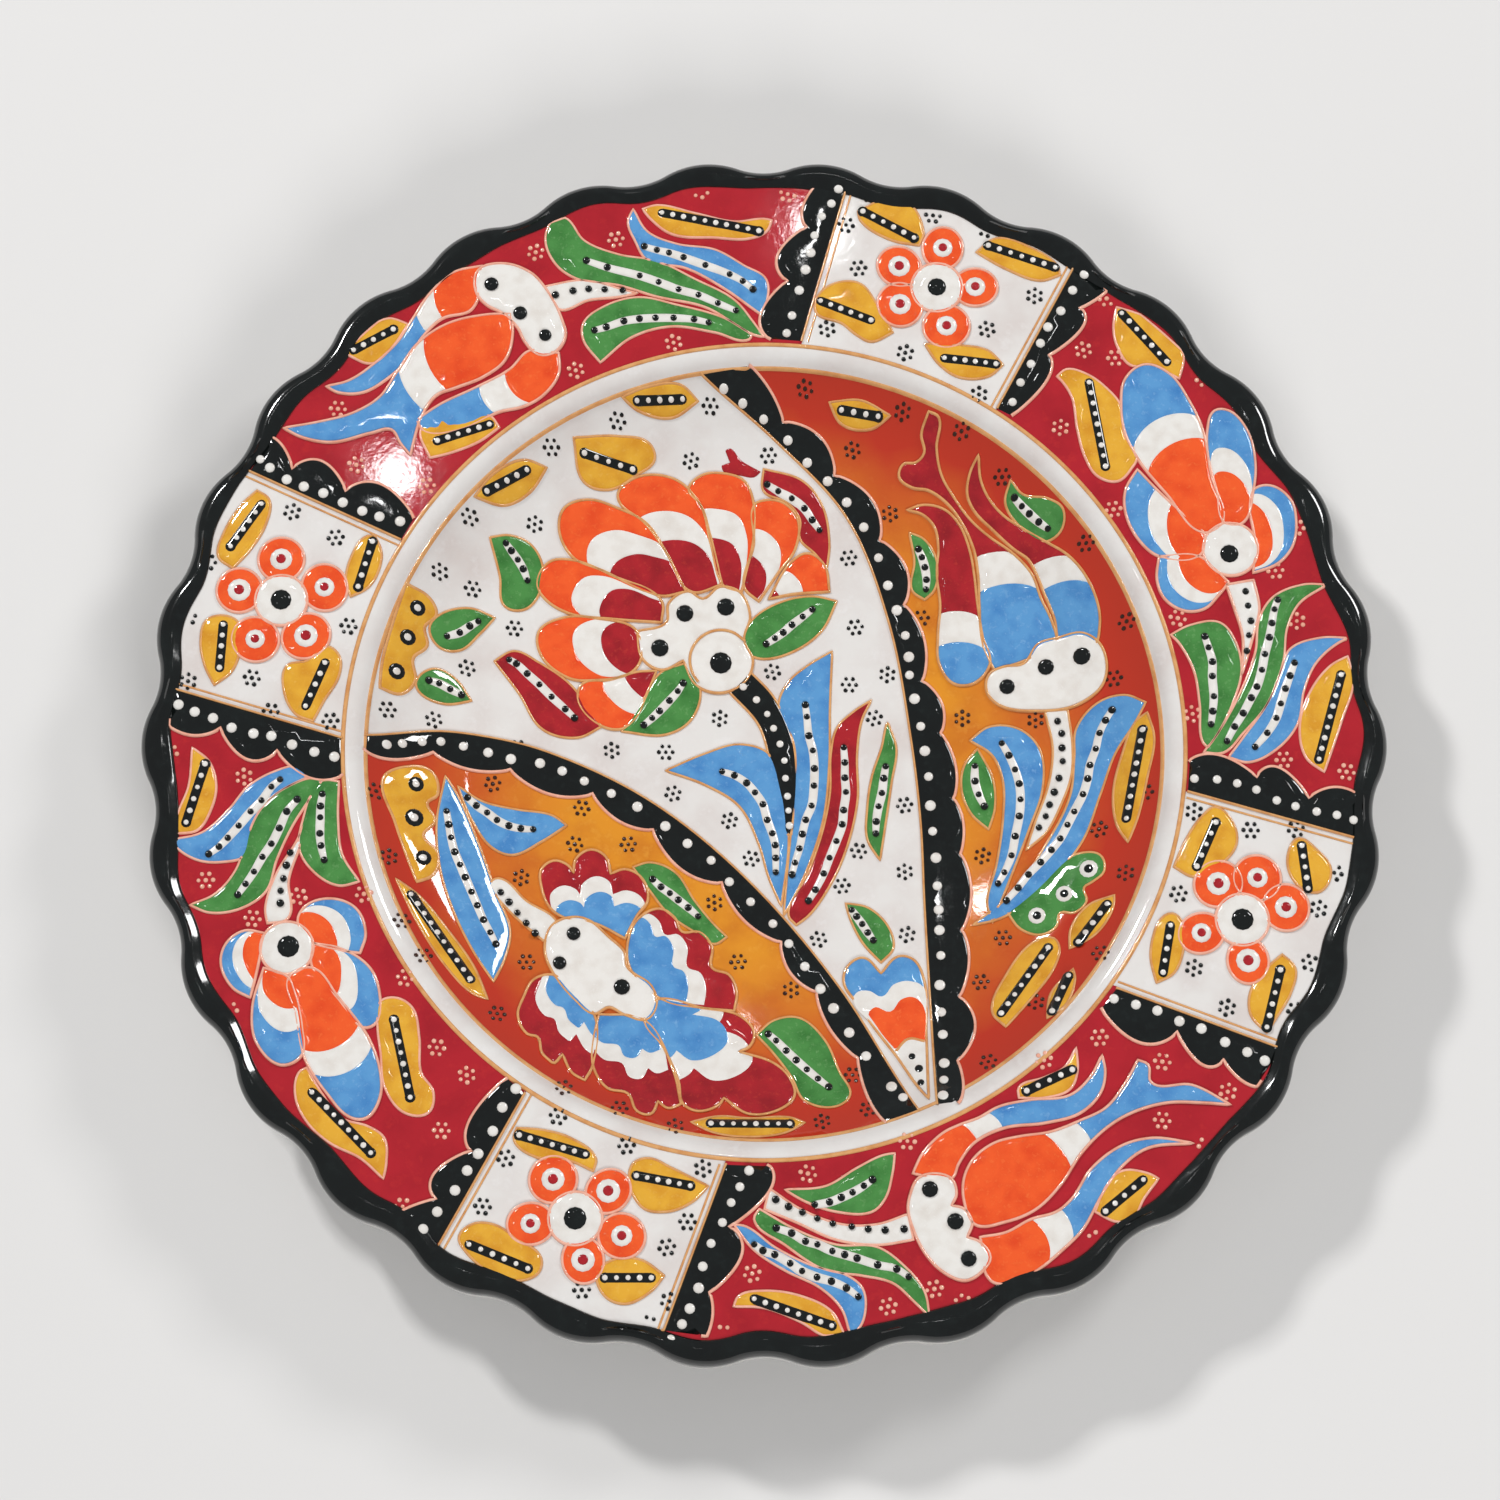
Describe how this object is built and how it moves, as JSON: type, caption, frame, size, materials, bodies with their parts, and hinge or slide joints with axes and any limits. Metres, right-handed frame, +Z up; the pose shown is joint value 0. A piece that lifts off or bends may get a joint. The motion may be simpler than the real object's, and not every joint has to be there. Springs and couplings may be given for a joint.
{
  "type": "painted ceramic plate",
  "caption": "Round display plate with a scalloped lip, a wide flat rim and a round well, covered in raised enamel flowers, bars and panels.",
  "frame": {"origin": "middle of the plane that the foot ring stands on", "axes": "+Z up out of the well; +Y towards the rim's far side, at the top of the decoration"},
  "size_m": [0.25, 0.2488, 0.0277],
  "materials": {
    "fired_clay": "unglazed fired earthenware on the foot ring, clear glazed elsewhere",
    "white_glaze": "glossy white tin glaze",
    "black_glaze": "glossy black glaze",
    "crimson_enamel": "glossy raised crimson enamel",
    "amber_enamel": "glossy amber glaze shading to red",
    "orange_enamel": "glossy raised orange enamel",
    "blue_enamel": "glossy raised blue enamel",
    "green_enamel": "glossy raised green enamel",
    "mustard_enamel": "glossy raised mustard enamel",
    "slip_line": "pale pink to tan trailed slip"
  },
  "bodies": {
    "root": {"amber_field_lower": "amber_enamel", "amber_field_right": "amber_enamel", "blossom_bottom_left": "orange_enamel", "blossom_right": "orange_enamel", "carnation_large": "orange_enamel", "carnation_small": "orange_enamel", "lip_glaze": "black_glaze", "panel_flower_bottom_left": "orange_enamel", "panel_flower_left": "orange_enamel", "panel_flower_right": "orange_enamel", "panel_flower_top_right": "orange_enamel", "plate_body": "fired_clay", "rim_bar_1": "black_glaze", "rim_bar_2": "black_glaze", "rim_bar_3": "black_glaze", "rim_bar_4": "black_glaze", "rim_bar_5": "black_glaze", "rim_bar_6": "black_glaze", "rim_bar_7": "black_glaze", "rim_bar_8": "black_glaze", "rim_field_bottom_left": "crimson_enamel", "rim_field_bottom_right": "crimson_enamel", "rim_field_right": "crimson_enamel", "rim_field_top_left": "crimson_enamel", "rim_panel_bottom_left": "white_glaze", "rim_panel_left": "white_glaze", "rim_panel_right": "white_glaze", "rim_panel_top_right": "white_glaze", "ring_glaze": "white_glaze", "tulip_bottom_right": "orange_enamel", "tulip_top_left": "orange_enamel", "well_bar_lower": "black_glaze", "well_bar_right": "black_glaze", "well_ground": "white_glaze", "well_tulip": "blue_enamel"}
  },
  "joints": []
}
